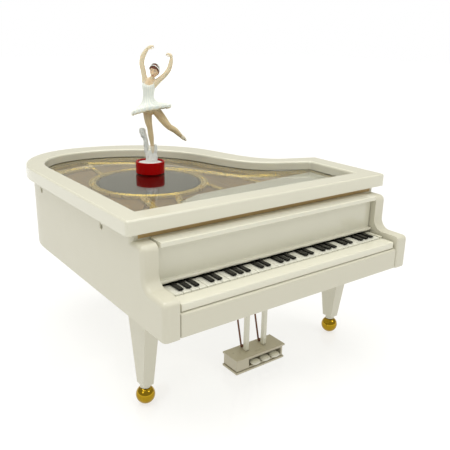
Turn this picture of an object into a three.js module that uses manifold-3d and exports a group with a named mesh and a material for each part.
// A grand-piano music and jewellery box with a magnet-driven ballerina on its window.
// Millimetres, +Z up. Model coordinates: X along the keyboard, Y from the cheek fronts (0)
// towards the tail, Z from the floor. The finished group is shifted so that the origin is
// under the middle of the whole object.
import * as THREE from "three";
import { mergeVertices } from "three/addons/utils/BufferGeometryUtils.js";
import Module from "manifold-3d";

// ---- driving dimensions -------------------------------------------------------------
const GAP = 0.3; // air between pieces that touch
const CASE_BOTTOM = 56.7;
const RIM_TOP = 97;
const RIM_WALL = 4;
const LID_OVERHANG = 4;
const LID_BOTTOM = 98.2;
const LID_TOP = 105.2;
const CURVE_STEPS = 14;

// The lid's outer edge and the edge of its window, each from five stretches.
const LID_EDGE = {
  left: -84,
  right: 84,
  front: 23.6,
  heelY: 80.7,
  hip: [64, 88],
  hipPull: [42, 96],
  waistPull: [44, 125],
  waist: [36, 144],
  bentPull: [24, 172],
  tailRightPull: [-8, 189],
  tail: [-38, 189],
  tailLeftPull: [-66, 189],
  spinePull: 166,
  spineY: 140,
};
const WINDOW_EDGE = {
  left: -73,
  right: 71.5,
  front: 35.6,
  heelY: 72.2,
  hip: [53, 81],
  hipPull: [26, 92],
  waistPull: [30, 123],
  waist: [18, 142],
  bentPull: [7, 161],
  tailRightPull: [-16, 174],
  tail: [-37, 174],
  tailLeftPull: [-58, 174],
  spinePull: 163,
  spineY: 140,
};

const CASE_HALF = LID_EDGE.right - LID_OVERHANG;
const CHEEK = 8.5;
const BAY_HALF = CASE_HALF - CHEEK - GAP; // half the width between the cheeks
const ARM_TOP = 75;
const CHEEK_TOP = 94.3;
const CHEEK_FACE = 18; // where the cheek's upright front face stands
const NECK_Y = LID_EDGE.front + LID_OVERHANG;

const PLATE_TOP = 59; // top of the bottom plate
const RAIL_TOP = 68;
const SLIP_TOP = 72;
const SLIP_FRONT = 2;
const KEY_FRONT = 10.3;
const KEY_BACK = 21;
const WHITE_TOP = 72.6;
const BLACK_TOP = 73.7;
const WHITE_KEYS = 32;
const KEY_WIDTH = 4.25;
const FALLBOARD_FACE = 21.5;
const MOULDING_BOTTOM = 92.3;
const MOULDING_TOP = 94.8;

const GLASS_BOTTOM = 98.5;
const GLASS_TOP = 99.8;
const GLASS_REBATE = 2.6;
const SOUNDBOARD_BOTTOM = 94.4;
const SOUNDBOARD_TOP = 96.2;
const HARP_TOP = 98;
const DECK_INSET = 9.6; // from the lid's edge to the soundboard tray's outer wall

const HINGE = { x: -CASE_HALF + RIM_WALL / 2, z: 94.8, ys: [57.2, 136.4] };
const HINGE_PIN = 0.8;
const HINGE_SLOT = { width: 3, bottom: 91.6 };
const LUG = 2.4;

const RING = { x: -28.3, y: 102.6, inner: 30.2, outer: 34.3 };
const MAGNET_ORBIT = 17.5;
const ORBIT_START = THREE.MathUtils.degToRad(58);
const DISC = { radius: 28.8, bottom: 96.5, top: 98 };

const FRONT_LEG = { x: 67.1, y: 41.5 };
const TAIL_LEG = { x: -20, y: 158 };
const LEG_BOTTOM = 11.3;
const BALL = 4.95;
const BALL_SEAT = 2.3; // radius of the flat on top of the ball, under the leg's neck
const BALL_TOP = BALL + Math.sqrt(BALL ** 2 - BALL_SEAT ** 2);

const SCREW = 1.2;
const LEGS = [
  { name: "left", x: -FRONT_LEG.x, y: FRONT_LEG.y },
  { name: "right", x: FRONT_LEG.x, y: FRONT_LEG.y },
  { name: "tail", x: TAIL_LEG.x, y: TAIL_LEG.y },
];

const LYRE = { x0: -14.3, x1: 19.3, y0: 33.3, y1: 45.6, top: 9.9 };
const LYRE_POSTS = [-3.3, 9.5];

// The white strip along the front of the harp, and the flat struts of the harp itself.
const PIN_BLOCK_EDGE = [[-36, 36.2], [-36, 57.4], [-20, 65], [71, 71.7], [71, 36.2]];
const HARP_STRUTS = [
  { width: 3, line: [[-43, 133], [-41, 150], [-38, 166]] },
  { width: 4.6, line: [[-40, 168], [-24, 159], [-8, 149]] },
  { width: 6.5, line: [[-69.4, 149], [-50, 155], [-39, 156]] },
  { width: 6, line: [[-12, 134], [5, 121], [14, 106], [21, 93], [27, 84], [48, 75]] },
  { width: 3, line: [[25, 87], [26, 66]] },
  { width: 3, line: [[-2, 81], [-2, 62]] },
  { width: 4, line: [[-47, 77], [-54, 48]] },
  { width: 3.4, line: [[-29, 71], [-38, 52]] },
];

// The movement: tooth counts, gear modules (pitch diameter over teeth) and levels.
const CROWN_TEETH = 44;
const CYLINDER_PINION = 12;
const CYLINDER_GEAR = 24;
const WHEEL_PINION = 8;
const WORM_WHEEL = 12;
const CROWN_RADIUS = 15.7;
const CROWN_MODULE = (2 * CROWN_RADIUS) / CROWN_TEETH;
const TRAIN_MODULE = 0.6;
const WORM_MODULE = 0.7;
const FLANGE_TOP = 66.6;
const BED_TOP = 61.8;
const AXIS_Y = RING.y;
const AXIS_Z = FLANGE_TOP + 0.7 + (CYLINDER_PINION * CROWN_MODULE) / 2;
const WHEEL_Y = AXIS_Y + ((CYLINDER_GEAR + WHEEL_PINION) * TRAIN_MODULE) / 2;
const WORM_RADIUS = 2.2;
const WORM_X = 21.3;
const WORM_Y = WHEEL_Y + (WORM_WHEEL * WORM_MODULE) / 2 + WORM_RADIUS;
const FAN = { radius: 6, bottom: 78.4, top: 83.6 };
const COMB_SCREWS = [-4, 9.6];
const COVER = { x0: -48, x1: 30, y0: 80.5, y1: 128, top: 90.5 };

const BASE = {
  x: RING.x + MAGNET_ORBIT * Math.cos(ORBIT_START),
  y: RING.y + MAGNET_ORBIT * Math.sin(ORBIT_START),
  bottom: GLASS_TOP + GAP,
  radius: 8.7,
  rim: 107.2,
};
const FACING = THREE.MathUtils.degToRad(-37); // the ballerina faces the front left corner

// ---- materials ----------------------------------------------------------------------
const paint = (color, roughness, metalness = 0) => ({ color, roughness, metalness });
const IVORY = paint(0xe2dfcf, 0.3);
const WHITE = paint(0xf2f2ee, 0.35);
const BLACK = paint(0x101010, 0.3);
const CLEAR = paint(0xe8f0ee, 0.05);
const WOOD = paint(0x5a4026, 0.45);
const GOLD = paint(0xd8b45a, 0.25, 1);
const BRASS = paint(0xb08d45, 0.35, 1);
const STEEL = paint(0xa8abb0, 0.3, 1);
const COPPER = paint(0x7a3b22, 0.4, 1);
const RED = paint(0x9c0606, 0.25);
const FLOCK = paint(0x5c0d18, 0.95);
const SKIN = paint(0xdcc39b, 0.5);

// ---- solids -------------------------------------------------------------------------
const wasm = await Module();
wasm.setup();

function solidOf(geometry) {
  const bare = new THREE.BufferGeometry();
  const plain = geometry.index ? geometry.toNonIndexed() : geometry;
  bare.setAttribute("position", plain.getAttribute("position"));
  const merged = mergeVertices(bare, 1e-4);
  const faces = [];
  for (let i = 0; i < merged.index.count; i += 3) {
    const [a, b, c] = [0, 1, 2].map((k) => merged.index.getX(i + k));
    if (a !== b && b !== c && a !== c) faces.push(a, b, c);
  }
  return new wasm.Manifold(
    new wasm.Mesh({
      numProp: 3,
      vertProperties: merged.attributes.position.array,
      triVerts: new Uint32Array(faces),
    }),
  );
}

function geometryOf(solid) {
  const mesh = solid.getMesh();
  const points = new Float32Array(mesh.numVert * 3);
  for (let i = 0; i < mesh.numVert; i++) {
    points.set(mesh.vertProperties.subarray(i * mesh.numProp, i * mesh.numProp + 3), i * 3);
  }
  const geometry = new THREE.BufferGeometry();
  geometry.setAttribute("position", new THREE.BufferAttribute(points, 3));
  geometry.setIndex(new THREE.BufferAttribute(new Uint32Array(mesh.triVerts), 1));
  return geometry;
}

// The same solid with fewer triangles, moved by less than the tolerance.
function lighter(geometry, tolerance) {
  return geometryOf(solidOf(geometry).simplify(tolerance));
}

function join(...pieces) {
  return geometryOf(pieces.map(solidOf).reduce((a, b) => a.add(b)));
}

function cut(body, ...tools) {
  return geometryOf(tools.map(solidOf).reduce((a, b) => a.subtract(b), solidOf(body)));
}

function box(x0, x1, y0, y1, z0, z1) {
  const geometry = new THREE.BoxGeometry(x1 - x0, y1 - y0, z1 - z0);
  return geometry.translate((x0 + x1) / 2, (y0 + y1) / 2, (z0 + z1) / 2);
}

// A flat piece of the given outline (with holes) between two heights.
function slab(outline, z0, z1, holes = []) {
  const shape = new THREE.Shape(outline);
  shape.holes = holes.map((hole) => new THREE.Path(hole));
  const geometry = new THREE.ExtrudeGeometry(shape, { depth: z1 - z0, bevelEnabled: false });
  return geometry.translate(0, 0, z0);
}

// A profile drawn in (y, z), extruded from x0 to x1.
function moulding(profile, x0, x1) {
  const toYZ = new THREE.Matrix4().makeBasis(
    new THREE.Vector3(0, 1, 0),
    new THREE.Vector3(0, 0, 1),
    new THREE.Vector3(1, 0, 0),
  );
  return slab(profile, x0, x1).applyMatrix4(toYZ);
}

// A round piece turned about a vertical axis at (x, y); profile is [radius, z] pairs.
function turned(profile, x, y, sides = 24) {
  const points = profile.map(([r, z]) => new THREE.Vector2(r, z));
  const geometry = new THREE.LatheGeometry(points, sides);
  return geometry.rotateX(Math.PI / 2).translate(x, y, 0);
}

function upright(x, y, z0, z1, radius, sides = 16) {
  return turned([[0, z0], [radius, z0], [radius, z1], [0, z1]], x, y, sides);
}

// A straight round bar from one point to another, with its own radius at each end.
function bar(from, to, r0, r1 = r0, sides = 10) {
  const a = new THREE.Vector3(...from);
  const along = new THREE.Vector3(...to).sub(a);
  const geometry = new THREE.CylinderGeometry(r1, r0, along.length(), sides);
  geometry.translate(0, along.length() / 2, 0);
  const turn = new THREE.Quaternion();
  turn.setFromUnitVectors(new THREE.Vector3(0, 1, 0), along.normalize());
  return geometry.applyQuaternion(turn).translate(a.x, a.y, a.z);
}

function egg(centre, radii, tilt = 0, detail = 12) {
  const geometry = new THREE.SphereGeometry(1, detail, Math.round(detail * 0.7));
  geometry.rotateX(Math.PI / 2).scale(...radii).rotateY(tilt);
  return geometry.translate(...centre);
}

// A limb: bars through the given [x, y, z, radius] joints, with a ball at each one.
function limb(...joints) {
  const pieces = joints.map(([x, y, z, r]) => egg([x, y, z], [r, r, r], 0, 8));
  for (let i = 1; i < joints.length; i++) {
    const [from, to] = [joints[i - 1], joints[i]];
    pieces.push(bar(from.slice(0, 3), to.slice(0, 3), from[3], to[3], 8));
  }
  return join(...pieces);
}

const v2 = (x, y) => new THREE.Vector2(x, y);

function circle(x, y, radius, sides = 48) {
  return Array.from({ length: sides }, (_, i) => {
    const angle = (i / sides) * 2 * Math.PI;
    return v2(x + radius * Math.cos(angle), y + radius * Math.sin(angle));
  });
}

// Points on an arc from one angle to another, in degrees.
function arc(x, y, radius, from, to, steps = 6) {
  return Array.from({ length: steps + 1 }, (_, i) => {
    const angle = THREE.MathUtils.degToRad(from + ((to - from) * i) / steps);
    return v2(x + radius * Math.cos(angle), y + radius * Math.sin(angle));
  });
}

// ---- the grand-piano outline --------------------------------------------------------
function grandOutline(edge) {
  const line = new THREE.Path();
  line.moveTo(edge.left, edge.front);
  line.lineTo(edge.right, edge.front);
  line.lineTo(edge.right, edge.heelY);
  line.lineTo(...edge.hip);
  line.bezierCurveTo(...edge.hipPull, ...edge.waistPull, ...edge.waist);
  line.bezierCurveTo(...edge.bentPull, ...edge.tailRightPull, ...edge.tail);
  line.bezierCurveTo(...edge.tailLeftPull, edge.left, edge.spinePull, edge.left, edge.spineY);
  return line.getPoints(CURVE_STEPS);
}

// The outline moved inwards by a distance; the points run anticlockwise.
function inset(outline, distance) {
  return outline.map((point, i) => {
    const before = outline[(i + outline.length - 1) % outline.length];
    const after = outline[(i + 1) % outline.length];
    const into = point.clone().sub(before).normalize();
    const out = after.clone().sub(point).normalize();
    const bend = 1 + into.dot(out);
    const normal = v2(-into.y - out.y, into.x + out.x);
    return point.clone().addScaledVector(normal, distance / bend);
  });
}

const lidOutline = grandOutline(LID_EDGE);
const windowOutline = grandOutline(WINDOW_EDGE);
const pinBlockOutline = PIN_BLOCK_EDGE.map(([x, y]) => v2(x, y)).toReversed();

const model = new THREE.Group();

function add(name, geometry, look, parent = model) {
  const material = new THREE.MeshStandardMaterial(look);
  if (look === CLEAR) {
    material.transparent = true;
    material.opacity = 0.35;
  }
  const mesh = new THREE.Mesh(geometry, material);
  mesh.name = name;
  parent.add(mesh);
}

// ---- case ---------------------------------------------------------------------------
function cheekProfile() {
  return [
    v2(0, CASE_BOTTOM),
    v2(NECK_Y + RIM_WALL, CASE_BOTTOM),
    v2(NECK_Y + RIM_WALL, CHEEK_TOP),
    ...arc(CHEEK_FACE + 3.2, CHEEK_TOP - 3.2, 3.2, 90, 180),
    ...arc(CHEEK_FACE - 6, ARM_TOP + 6, 6, 0, -90, 7),
    ...arc(2.6, ARM_TOP - 2.6, 2.6, 90, 180),
  ];
}

function hingeSlotAt(y) {
  const half = HINGE_SLOT.width / 2;
  const reach = 3.4; // how far the pin goes into the wall on each side of the slot
  const slot = box(-CASE_HALF - 1, -CASE_HALF + RIM_WALL + 1, y - half, y + half,
    HINGE_SLOT.bottom + half, RIM_TOP + 1);
  const foot = bar([-CASE_HALF - 1, y, HINGE_SLOT.bottom + half],
    [-CASE_HALF + RIM_WALL + 1, y, HINGE_SLOT.bottom + half], half, half, 16);
  const bore = bar([HINGE.x, y - half - reach, HINGE.z], [HINGE.x, y + half + reach, HINGE.z],
    HINGE_PIN + 0.1, HINGE_PIN + 0.1, 12);
  return join(slot, foot, bore);
}

function buildCase() {
  const outer = inset(lidOutline, LID_OVERHANG);
  const inner = inset(lidOutline, LID_OVERHANG + RIM_WALL);
  const wall = slab(outer, CASE_BOTTOM, RIM_TOP, [inner]);
  const cheeks = [-CASE_HALF, CASE_HALF - CHEEK].map((x) =>
    moulding(cheekProfile(), x, x + CHEEK));
  add("case_rim", cut(join(wall, ...cheeks), ...HINGE.ys.map(hingeSlotAt)), IVORY);

  const floor = slab(inset(lidOutline, LID_OVERHANG + RIM_WALL + GAP), CASE_BOTTOM + 0.2, PLATE_TOP);
  const holes = [
    upright(RING.x, RING.y, CASE_BOTTOM - 1, PLATE_TOP + 1, 2.2),
    ...LEGS.map(({ x, y }) => upright(x, y, CASE_BOTTOM - 1, PLATE_TOP + 1, SCREW + GAP)),
  ];
  add("bottom_plate", cut(floor, ...holes), IVORY);

  HINGE.ys.forEach((y, i) => {
    const pin = bar([HINGE.x, y - 4.6, HINGE.z], [HINGE.x, y + 4.6, HINGE.z],
      HINGE_PIN, HINGE_PIN, 12);
    add(`hinge_pin_${["front", "rear"][i]}`, pin, STEEL);
  });
}

// ---- keyboard -----------------------------------------------------------------------
function buildKeyboard() {
  const railProfile = [
    v2(0.6, CASE_BOTTOM),
    v2(3.2, CASE_BOTTOM),
    v2(3.2, RAIL_TOP - 3),
    v2(5, RAIL_TOP - 3),
    v2(5, RAIL_TOP),
    ...arc(1.6, RAIL_TOP - 1, 1, 90, 180, 4),
  ];
  add("front_rail", moulding(railProfile, -BAY_HALF, BAY_HALF), IVORY);

  const bedProfile = [
    v2(3.5, CASE_BOTTOM + 0.2),
    v2(5.5, CASE_BOTTOM + 0.2),
    v2(5.5, RAIL_TOP - 5.5),
    v2(25, RAIL_TOP - 5.5),
    v2(25, CASE_BOTTOM + 0.2),
    v2(NECK_Y - GAP, CASE_BOTTOM + 0.2),
    v2(NECK_Y - GAP, RAIL_TOP),
    v2(5.3, RAIL_TOP),
    v2(5.3, RAIL_TOP - 3.3),
    v2(3.5, RAIL_TOP - 3.3),
  ];
  add("key_bed", moulding(bedProfile, -BAY_HALF, BAY_HALF), IVORY);

  const slipHalf = 70.2;
  const base = RAIL_TOP + GAP;
  const slipProfile = [
    v2(SLIP_FRONT, base),
    v2(KEY_FRONT - GAP, base),
    v2(KEY_FRONT - GAP, SLIP_TOP),
    ...arc(SLIP_FRONT + 0.9, SLIP_TOP - 0.9, 0.9, 90, 180, 4),
  ];
  add("key_slip", moulding(slipProfile, -slipHalf, slipHalf), IVORY);

  const keysHalf = (WHITE_KEYS * KEY_WIDTH) / 2;
  const strip = box(-keysHalf, keysHalf, KEY_FRONT, KEY_BACK, base, WHITE_TOP);
  const grooves = [];
  for (let k = 1; k < WHITE_KEYS; k++) {
    const x = -keysHalf + k * KEY_WIDTH;
    grooves.push(box(x - 0.15, x + 0.15, KEY_FRONT - 1, KEY_BACK + 1, WHITE_TOP - 1.4, WHITE_TOP + 1));
  }
  add("white_keys", cut(strip, ...grooves), WHITE);

  // Sharps stand in groups of three and two, with a gap after each group.
  const spine = box(-keysHalf, keysHalf, KEY_BACK + GAP, KEY_BACK + 2.2, WHITE_TOP - 1, BLACK_TOP - 0.3);
  const sharps = [spine];
  let gapIndex = 1;
  for (const size of [3, 2, 3, 2, 3, 2, 3, 2, 3]) {
    for (let k = 0; k < size; k++) {
      const x = -keysHalf + (gapIndex + k) * KEY_WIDTH;
      sharps.push(box(x - 1.2, x + 1.2, KEY_FRONT + 1.9, KEY_BACK + 1, WHITE_TOP + GAP, BLACK_TOP));
    }
    gapIndex += size + 1;
  }
  add("black_keys", join(...sharps), BLACK);

  for (const [side, name] of [[-1, "left"], [1, "right"]]) {
    const [x0, x1] = [keysHalf + GAP, slipHalf].map((x) => x * side).sort((a, b) => a - b);
    add(`key_block_${name}`, box(x0, x1, KEY_FRONT, KEY_BACK, base, WHITE_TOP + 0.4), IVORY);
  }

  const panelProfile = [
    v2(FALLBOARD_FACE + 3, BLACK_TOP + GAP),
    v2(FALLBOARD_FACE + 3, MOULDING_BOTTOM - GAP),
    v2(FALLBOARD_FACE, MOULDING_BOTTOM - GAP),
    v2(FALLBOARD_FACE, 75.8),
    ...arc(FALLBOARD_FACE - 1.2, 74.9, 0.9, 90, 270, 6),
  ];
  add("fallboard", moulding(panelProfile, -BAY_HALF, BAY_HALF), IVORY);

  const nose = (MOULDING_TOP - MOULDING_BOTTOM) / 2;
  const noseProfile = [
    v2(NECK_Y - GAP, MOULDING_BOTTOM),
    v2(NECK_Y - GAP, MOULDING_TOP),
    ...arc(CHEEK_FACE + 1.6 + nose, MOULDING_BOTTOM + nose, nose, 90, 270, 8),
  ];
  add("fallboard_moulding", moulding(noseProfile, -BAY_HALF, BAY_HALF), IVORY);
}

// ---- lid ----------------------------------------------------------------------------
function lugAt(y) {
  const half = LUG / 2;
  const [x0, x1] = [HINGE.x - 1.8, HINGE.x + 1.8];
  const tab = join(
    box(x0, x1, y - half, y + half, HINGE.z, LID_BOTTOM + 1),
    bar([HINGE.x, y - half, HINGE.z], [HINGE.x, y + half, HINGE.z], 1.8, 1.8, 20),
  );
  return cut(tab, bar([HINGE.x, y - LUG, HINGE.z], [HINGE.x, y + LUG, HINGE.z],
    HINGE_PIN + 0.1, HINGE_PIN + 0.1, 12));
}

// A flat strip of constant width along a line of [x, y] points.
function strut({ line, width }, z0, z1) {
  const points = line.map(([x, y]) => v2(x, y));
  const side = (sign) => points.map((point, i) => {
    const before = points[Math.max(i - 1, 0)];
    const after = points[Math.min(i + 1, points.length - 1)];
    const along = after.clone().sub(before).normalize();
    return point.clone().add(v2(-along.y, along.x).multiplyScalar((sign * width) / 2));
  });
  return slab([...side(-1), ...side(1).toReversed()], z0, z1);
}

// The raised gold plate: a ring round the turntable, its struts and the bar round the rim.
function harpPlate() {
  const { x, y, inner, outer } = RING;
  const [z0, z1] = [SOUNDBOARD_TOP + GAP, HARP_TOP];
  const ring = slab(circle(x, y, outer), z0, z1, [circle(x, y, inner)]);
  const rim = slab(inset(windowOutline, 0.6), z0, z1 - 0.9, [inset(windowOutline, 2.8)]);
  const struts = HARP_STRUTS.map((each) => strut(each, z0, z1 - 0.4));
  const disc = upright(x, y, z0 - 1, z1 + 1, inner, 48);
  const bay = inset(pinBlockOutline, -GAP);
  return cut(join(rim, ring, ...struts), slab(bay, z0 - 1, z1 + 1), disc);
}

function buildLid() {
  const frame = slab(lidOutline, LID_BOTTOM, LID_TOP, [windowOutline]);
  const rebate = slab(inset(windowOutline, -GLASS_REBATE - GAP), LID_BOTTOM - 1, GLASS_TOP + GAP);
  add("lid_frame", join(cut(frame, rebate), ...HINGE.ys.map(lugAt)), IVORY);
  add("lid_window", slab(inset(windowOutline, -GLASS_REBATE), GLASS_BOTTOM, GLASS_TOP), CLEAR);

  const tray = slab(inset(lidOutline, DECK_INSET), SOUNDBOARD_BOTTOM, LID_BOTTOM - GAP);
  const hollow = slab(inset(windowOutline, -0.2), SOUNDBOARD_TOP, LID_BOTTOM + 1);
  const opening = upright(RING.x, RING.y, SOUNDBOARD_BOTTOM - 1, LID_BOTTOM, RING.inner + 0.6, 48);
  add("soundboard", cut(tray, hollow, opening), WOOD);
  add("harp_plate", harpPlate(), GOLD);
  add("pin_block", slab(pinBlockOutline, SOUNDBOARD_TOP + GAP, HARP_TOP - 0.6), WHITE);
}

// ---- legs and lyre ------------------------------------------------------------------
// A four-sided post that widens upwards, from half sizes at the foot and at the top.
function taperedPost(x, y, z0, z1, foot, top) {
  const geometry = new THREE.BoxGeometry(2, 2, z1 - z0);
  geometry.translate(0, 0, (z1 + z0) / 2);
  const points = geometry.getAttribute("position");
  for (let i = 0; i < points.count; i++) {
    const [hx, hy] = points.getZ(i) > (z0 + z1) / 2 ? top : foot;
    points.setXY(i, x + points.getX(i) * hx, y + points.getY(i) * hy);
  }
  return geometry;
}

function buildLegs() {
  for (const { name, x, y } of LEGS) {
    const post = taperedPost(x, y, LEG_BOTTOM, CASE_BOTTOM - 0.1, [2.9, 3.4], [4.3, 9.8]);
    const neck = upright(x, y, BALL_TOP + 0.2, LEG_BOTTOM + 1, 2.7, 20);
    const socket = upright(x, y, CASE_BOTTOM - 12, CASE_BOTTOM + 1, SCREW + GAP, 12);
    add(`leg_${name}`, cut(join(post, neck), socket), IVORY);

    const round = [[0, 0], [1.4, 0]];
    const low = Math.asin(-1 + 0.02);
    const high = Math.acos(BALL_SEAT / BALL);
    for (let k = 1; k <= 9; k++) {
      const angle = low + ((high - low) * k) / 9;
      round.push([BALL * Math.cos(angle), BALL + BALL * Math.sin(angle)]);
    }
    round.push([0, BALL_TOP]);
    add(`foot_ball_${name}`, turned(round, x, y, 22), GOLD);

    const screw = turned([
      [0, CASE_BOTTOM - 10], [SCREW, CASE_BOTTOM - 10], [SCREW, PLATE_TOP + GAP],
      [2.6, PLATE_TOP + GAP], [2.6, PLATE_TOP + 1.2], [1.6, PLATE_TOP + 1.9], [0, PLATE_TOP + 1.9],
    ], x, y, 12);
    add(`leg_screw_${name}`, screw, STEEL);
  }
}

function buildLyre() {
  const { x0, x1, y0, y1, top } = LYRE;
  const base = box(x0 - 0.7, x1 + 0.7, y0 - 0.7, y1 + 0.4, 0.9, 2.2);
  add("lyre_base", base, IVORY);
  const body = box(x0, x1, y0, y1, 2.5, top - 0.9);
  const mouth = box(-5.6, x1 - 1.2, y0 - 1, y1 - 2, 3.4, top - 2.4);
  const cap = box(x0 - 0.7, x1 + 1, y0 - 0.9, y1 + 0.4, top - 1.1, top);
  add("lyre_box", cut(join(body, cap), mouth), IVORY);
  ["left", "middle", "right"].forEach((side, i) => {
    const x = -1.6 + i * 7.1;
    const pedal = join(
      box(x - 0.9, x + 0.9, y0 + 1.2, y1 - 2.4, 4, 5.4),
      egg([x, y0 + 0.7, 4.9], [2.4, 1.9, 0.85], 0, 10),
    );
    add(`pedal_${side}`, pedal, IVORY);
  });
  LYRE_POSTS.forEach((x, i) => {
    const side = ["left", "right"][i];
    const post = box(x - 1.25, x + 1.25, 38.1, 40.6, top + GAP, CASE_BOTTOM - 0.1);
    add(`lyre_post_${side}`, post, IVORY);
    const rod = bar([x + 0.1, 43.9, top + 0.6], [x + 0.1, 55.8, CASE_BOTTOM - 0.4], 0.55, 0.55, 10);
    add(`lyre_rod_${side}`, rod, COPPER);
  });
}

// ---- musical movement ---------------------------------------------------------------
// A spring barrel stands on the ring's axis. Its crown gear turns the pin cylinder, the
// cylinder's end gear turns the governor wheel, and that wheel turns the worm of the fan.

// A toothed outline in its own plane; the first tooth points along the first axis.
function gearOutline(teeth, module, phase = 0) {
  const pitch = (teeth * module) / 2;
  const step = (2 * Math.PI) / teeth;
  const levels = [[pitch - 1.15 * module, 0.33], [pitch + 0.85 * module, 0.11]];
  const points = [];
  for (let k = 0; k < teeth; k++) {
    const middle = (k + phase) * step;
    const flank = (sign, [radius, half]) =>
      v2(radius * Math.cos(middle + sign * half * step), radius * Math.sin(middle + sign * half * step));
    points.push(...levels.map((level) => flank(-1, level)));
    points.push(...levels.toReversed().map((level) => flank(1, level)));
  }
  return points;
}

function gearOnX(teeth, module, x0, x1, y, z, phase = 0) {
  return moulding(gearOutline(teeth, module, phase), x0, x1).translate(0, y, z);
}

function crownTeeth() {
  const step = (2 * Math.PI) / CROWN_TEETH;
  return Array.from({ length: CROWN_TEETH }, (_, k) => {
    const profile = [v2(-0.7, FLANGE_TOP - 0.4), v2(0.7, FLANGE_TOP - 0.4),
      v2(0.3, FLANGE_TOP + 1.3), v2(-0.3, FLANGE_TOP + 1.3)];
    const tooth = moulding(profile, CROWN_RADIUS - 1.6, CROWN_RADIUS + 1.6);
    return tooth.rotateZ((k + 0.5) * step).translate(RING.x, RING.y, 0);
  });
}

function spiralStrip(r0, r1, turns, thickness) {
  const steps = turns * 16;
  const edge = (offset) => Array.from({ length: steps + 1 }, (_, i) => {
    const angle = (i / steps) * turns * 2 * Math.PI;
    const radius = r0 + ((r1 - r0) * i) / steps + offset;
    return v2(RING.x + radius * Math.cos(angle), RING.y + radius * Math.sin(angle));
  });
  return [...edge(thickness), ...edge(0).toReversed()];
}

class Helix extends THREE.Curve {
  constructor(radius, lead, turns, startAngle, startZ) {
    super();
    Object.assign(this, { radius, lead, turns, startAngle, startZ });
  }

  getPoint(t) {
    const angle = this.startAngle + t * this.turns * 2 * Math.PI;
    return new THREE.Vector3(
      this.radius * Math.cos(angle),
      this.radius * Math.sin(angle),
      this.startZ + t * this.turns * this.lead,
    );
  }
}

function worm() {
  const lead = Math.PI * WORM_MODULE;
  const turns = 3;
  // The thread passes half a lead above and below the wheel's axis on the wheel's side.
  const thread = new THREE.ExtrudeGeometry(new THREE.Shape(circle(0, 0, 0.48, 5)), {
    steps: turns * 10,
    bevelEnabled: false,
    extrudePath: new Helix(WORM_RADIUS - 0.35, lead, turns, -Math.PI / 2, AXIS_Z - 1.5 * lead),
  });
  const shaft = upright(0, 0, BED_TOP + 0.4, 84, 0.6, 10);
  const core = upright(0, 0, AXIS_Z - 4.2, AXIS_Z + 4.2, 1.4, 12);
  const hub = upright(0, 0, FAN.bottom, FAN.top, 1.4, 12);
  const blades = box(-FAN.radius, FAN.radius, -0.4, 0.4, FAN.bottom, FAN.top);
  return join(shaft, core, hub, thread, blades).translate(WORM_X, WORM_Y, 0);
}

function bearing(x0, x1, y0, y1, top, shafts) {
  const plate = box(x0, x1, y0, y1, BED_TOP + GAP, top);
  const holes = shafts.map(([y, z, radius]) => bar([x0 - 1, y, z], [x1 + 1, y, z], radius, radius, 12));
  return cut(plate, ...holes);
}

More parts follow.
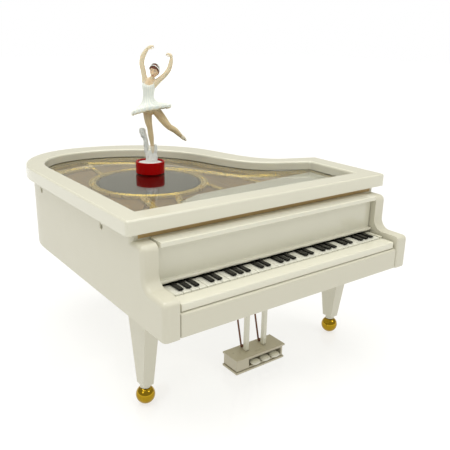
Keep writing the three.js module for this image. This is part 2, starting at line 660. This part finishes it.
function buildMovement() {
  const { x, y } = RING;
  const bed = box(x - 17.5, 27, y - 20, y + 20.5, PLATE_TOP + GAP, BED_TOP);
  const bedHole = upright(x, y, PLATE_TOP, BED_TOP + 1, 1.8);
  add("movement_bedplate", cut(bed, bedHole), STEEL);

  const drum = turned([
    [0, 64.4], [17.5, 64.4], [17.5, FLANGE_TOP], [12, FLANGE_TOP], [12, 80], [4, 80.6], [4, 83], [0, 83],
  ], x, y, 44);
  const inside = upright(x, y, FLANGE_TOP, 78.6, 11, 36);
  const shaftHole = upright(x, y, 63, FLANGE_TOP + 1, 1.8, 12);
  add("spring_barrel", cut(join(drum, ...crownTeeth()), inside, shaftHole), BRASS);
  const coil = spiralStrip(2.2, 10.2, 4, 0.5);
  add("mainspring", slab(coil, FLANGE_TOP + 0.6, 78), STEEL);
  add("winding_shaft", upright(x, y, 44, 78.2, 1.45, 16), STEEL);
  const wing = 11.5;
  const key = join(
    box(x - wing + 4, x + wing - 4, y - 1.4, y + 1.4, 40, 50.4),
    ...[-1, 1].map((s) => bar([x + s * (wing - 5), y - 1.4, 45.2], [x + s * (wing - 5), y + 1.4, 45.2],
      5.2, 5.2, 20)),
    upright(x, y, 41, 55.2, 3.4, 20),
  );
  add("winding_key", cut(key, upright(x, y, 43.6, 56, 1.75, 16)), BRASS);

  const arbor = bar([x + 12.8, AXIS_Y, AXIS_Z], [25.6, AXIS_Y, AXIS_Z], 0.9, 0.9, 12);
  const pinion = gearOnX(CYLINDER_PINION, CROWN_MODULE, x + 14.5, x + 16.8, AXIS_Y, AXIS_Z);
  const endGear = gearOnX(CYLINDER_GEAR, TRAIN_MODULE, 16.6, 18.2, AXIS_Y, AXIS_Z);
  const roller = bar([-8.7, AXIS_Y, AXIS_Z], [14.4, AXIS_Y, AXIS_Z], 4.6, 4.6, 18);
  const pins = [];
  for (let k = 0; k < 27; k++) {
    const along = -7.9 + (k % 18) * 1.24;
    const angle = k * 2.4; // golden-angle scatter of the tune pins
    const away = [AXIS_Y + 5.1 * Math.cos(angle), AXIS_Z + 5.1 * Math.sin(angle)];
    pins.push(bar([along, AXIS_Y, AXIS_Z], [along, ...away], 0.22, 0.22, 4));
  }
  add("pin_cylinder", lighter(join(arbor, pinion, endGear, roller, ...pins), 0.02), BRASS);

  const wheelShaft = bar([15.2, WHEEL_Y, AXIS_Z], [25.6, WHEEL_Y, AXIS_Z], 0.6, 0.6, 10);
  const wheelPinion = gearOnX(WHEEL_PINION, TRAIN_MODULE, 16.5, 18.4, WHEEL_Y, AXIS_Z, 0.5);
  const wheel = gearOnX(WORM_WHEEL, WORM_MODULE, WORM_X - 0.8, WORM_X + 0.8, WHEEL_Y, AXIS_Z);
  add("governor_wheel", join(wheelShaft, wheelPinion, wheel), BRASS);
  add("governor_worm_fan", worm(), BRASS);

  const arborHole = [AXIS_Y, AXIS_Z, 1];
  const wheelHole = [WHEEL_Y, AXIS_Z, 0.7];
  add("bearing_left", bearing(-10.4, -9.1, AXIS_Y - 4, AXIS_Y + 4, AXIS_Z + 3, [arborHole]), BRASS);
  const middle = bearing(14.8, 16.2, AXIS_Y - 4, WHEEL_Y + 3, AXIS_Z + 3, [arborHole, wheelHole]);
  add("bearing_middle", middle, BRASS);
  const frame = bearing(23.6, 25.4, AXIS_Y - 4, WORM_Y + 3, FAN.bottom - 0.6, [arborHole, wheelHole]);
  const arm = box(WORM_X - 3, 24, WORM_Y - 3, WORM_Y + 3, FAN.bottom - 2.1, FAN.bottom - 0.6);
  const wormTop = upright(WORM_X, WORM_Y, FAN.bottom - 4, FAN.bottom, 0.7, 10);
  add("governor_frame", cut(join(frame, arm), wormTop), BRASS);

  const combBase = box(-8.8, 14.4, y - 19.5, y - 11, BED_TOP + GAP, AXIS_Z - 0.6);
  const comb = box(-8.8, 14.4, y - 19.5, y - 5.5, AXIS_Z - 0.3, AXIS_Z + 0.6);
  const slits = [];
  for (let k = 1; k < 18; k++) {
    const at = -8.6 + k * 1.24 - 0.3;
    slits.push(box(at, at + 0.3, y - 11, y - 5, AXIS_Z - 1, AXIS_Z + 1));
  }
  const combHoles = COMB_SCREWS.map((at) => upright(at, y - 15.5, 60, 80, 1.3, 12));
  add("comb_base", cut(combBase, ...combHoles), BRASS);
  add("comb", cut(comb, ...slits, ...combHoles), STEEL);
  COMB_SCREWS.forEach((at, i) => {
    const screw = turned([
      [0, BED_TOP + 1], [1, BED_TOP + 1], [1, AXIS_Z + 0.9], [2.2, AXIS_Z + 0.9], [2.2, AXIS_Z + 2.1],
      [0, AXIS_Z + 2.1],
    ], at, y - 15.5, 12);
    add(`comb_screw_${["left", "right"][i]}`, screw, STEEL);
  });

  const cover = cut(
    box(COVER.x0, COVER.x1, COVER.y0, COVER.y1, PLATE_TOP + GAP, COVER.top),
    box(COVER.x0 + 1.5, COVER.x1 - 1.5, COVER.y0 + 1.5, COVER.y1 - 1.5, PLATE_TOP, COVER.top - 1.5),
    upright(x, y, COVER.top - 3, COVER.top + 1, 4.6, 24),
  );
  add("movement_cover", cover, BLACK);
  add("turntable_spindle", upright(x, y, 83.3, 94.9, 2.4, 20), BRASS);

  const socket = upright(x, y, 90, 95.2, 2.7, 20);
  const plate = turned([
    [0, 91.4], [5, 91.4], [5, DISC.bottom], [DISC.radius, DISC.bottom], [DISC.radius, DISC.top],
    [0, DISC.top],
  ], x, y, 48);
  add("turntable_disc", cut(plate, socket), BLACK);
  add("drive_magnet", upright(BASE.x, BASE.y, DISC.bottom - 3.3, DISC.bottom - GAP, 4, 20), STEEL);
}

function buildTray() {
  const pad = slab(inset(lidOutline, LID_OVERHANG + RIM_WALL + 0.6), PLATE_TOP + GAP, PLATE_TOP + 1.5);
  const well = box(COVER.x0 - GAP, COVER.x1 + GAP, COVER.y0 - GAP, COVER.y1 + GAP, 50, 70);
  const holes = LEGS.map(({ x, y }) => upright(x, y, 50, 70, 3.2, 16));
  add("jewellery_tray", cut(pad, well, ...holes), FLOCK);
}

// ---- ballerina ----------------------------------------------------------------------
// Everything here is drawn about the base's own axis, with her face towards -Y.
function buildBallerina() {
  const doll = new THREE.Group();
  doll.position.set(BASE.x, BASE.y, 0);
  doll.rotation.z = FACING;
  model.add(doll);

  const { bottom, radius, rim } = BASE;
  const cup = turned([
    [0, bottom], [radius, bottom], [radius, rim], [radius - 1.1, rim], [radius - 1.1, bottom + 1.5],
    [0, bottom + 1.5],
  ], 0, 0, 36);
  add("magnet_cup", cup, RED, doll);
  add("base_magnet", upright(0, 0, bottom + 1.8, bottom + 4.2, 5, 24), STEEL, doll);

  const stemTop = 115.1;
  const pedestal = join(
    upright(0, 0, bottom + 4.5, bottom + 6.4, radius - 1.5, 32),
    box(-1.6, 4.2, -2, 2.4, bottom + 6, 110.4),
    taperedPost(1.6, 0.3, 110.2, stemTop, [2.6, 2], [2.2, 1.8]),
    limb([-1.5, 0.4, 107.6, 1.3], [-2.3, 0.5, 113.3, 1.3], [-2.3, 0.5, 116.6, 1.5],
      [-2.5, 0.5, 120.2, 1.25], [-3.8, 0.5, 122.8, 1.75], [-4.4, 0.5, 125.5, 1.9]),
  );
  add("pedestal", lighter(pedestal, 0.06), WHITE, doll);

  const skirtTilt = THREE.MathUtils.degToRad(-12);
  const skirt = turned([
    [0, 1], [4, 0.6], [7, -0.6], [10.9, -2.8], [11.4, -2.4], [11.4, -0.9], [9.6, 0], [6.2, 1.4],
    [4.2, 3.2], [3.1, 5.2], [0, 5.4],
  ], 0, 0, 24).scale(1, 0.72, 1).rotateY(skirtTilt).translate(1.1, 0.1, 139.4);
  const trunk = turned([
    [0, 138], [4, 138.6], [4.3, 140.6], [3.5, 143], [3.1, 145.2], [3.2, 148], [3.8, 150.8],
    [3.7, 152.6], [2.8, 154.4], [1.3, 155.2], [0, 155.3],
  ], 0, 0, 16).scale(1, 0.74, 1);
  const lean = new THREE.Matrix4().makeShear(0, 0, 0, 0, 0.03, 0);
  trunk.translate(0, 0.2, -138).applyMatrix4(lean).translate(-0.2, 0, 138);
  const figure = join(
    trunk,
    skirt,
    limb([1.5, 0.2, 116.6, 1.1], [1.2, 0.2, 119.7, 1.3], [0.6, 0.2, 124, 1.6],
      [-0.5, 0.1, 131, 2.1], [-1, 0.2, 138.5, 2.6]),
    limb([3.4, 0.6, 138.6, 2.6], [7.9, 1, 132.2, 2.4], [11.6, 1.6, 127.6, 1.85],
      [14.5, 4, 125.4, 1.7], [17.9, 7.8, 121.4, 1.4], [20.6, 10, 118.9, 0.95]),
    limb([-1.9, 0.3, 153.2, 1.8], [-3.1, 0.1, 160.6, 1.5], [-3.7, 0, 163.8, 1.55],
      [-2.3, -0.3, 169, 1.35], [-0.2, -0.6, 172.1, 1.1], [2.6, -0.7, 173.2, 1.3]),
    limb([3.5, 0.3, 153, 1.9], [7.2, 0.2, 155.6, 1.5], [11.3, 0.1, 160, 1.45],
      [13.3, -0.4, 166.8, 1.2], [12.4, -0.6, 169, 1.2], [11, -0.8, 169.3, 0.7]),
    limb([1.4, 0.2, 153.4, 1.5], [2.6, -0.2, 157, 1.3]),
    egg([3.6, -0.2, 160], [2.8, 3.1, 4.3], THREE.MathUtils.degToRad(14), 12),
  );
  add("figure", lighter(figure, 0.05), SKIN, doll);
}

buildCase();
buildKeyboard();
buildLid();
buildLegs();
buildLyre();
buildMovement();
buildTray();
buildBallerina();

// The origin goes under the middle of the whole object, on the floor.
model.updateMatrixWorld(true);
const bounds = new THREE.Box3().setFromObject(model, true);
const middle = bounds.getCenter(new THREE.Vector3());
model.position.set(-middle.x, -middle.y, -bounds.min.z);

const group = new THREE.Group();
group.add(model);

export default group;
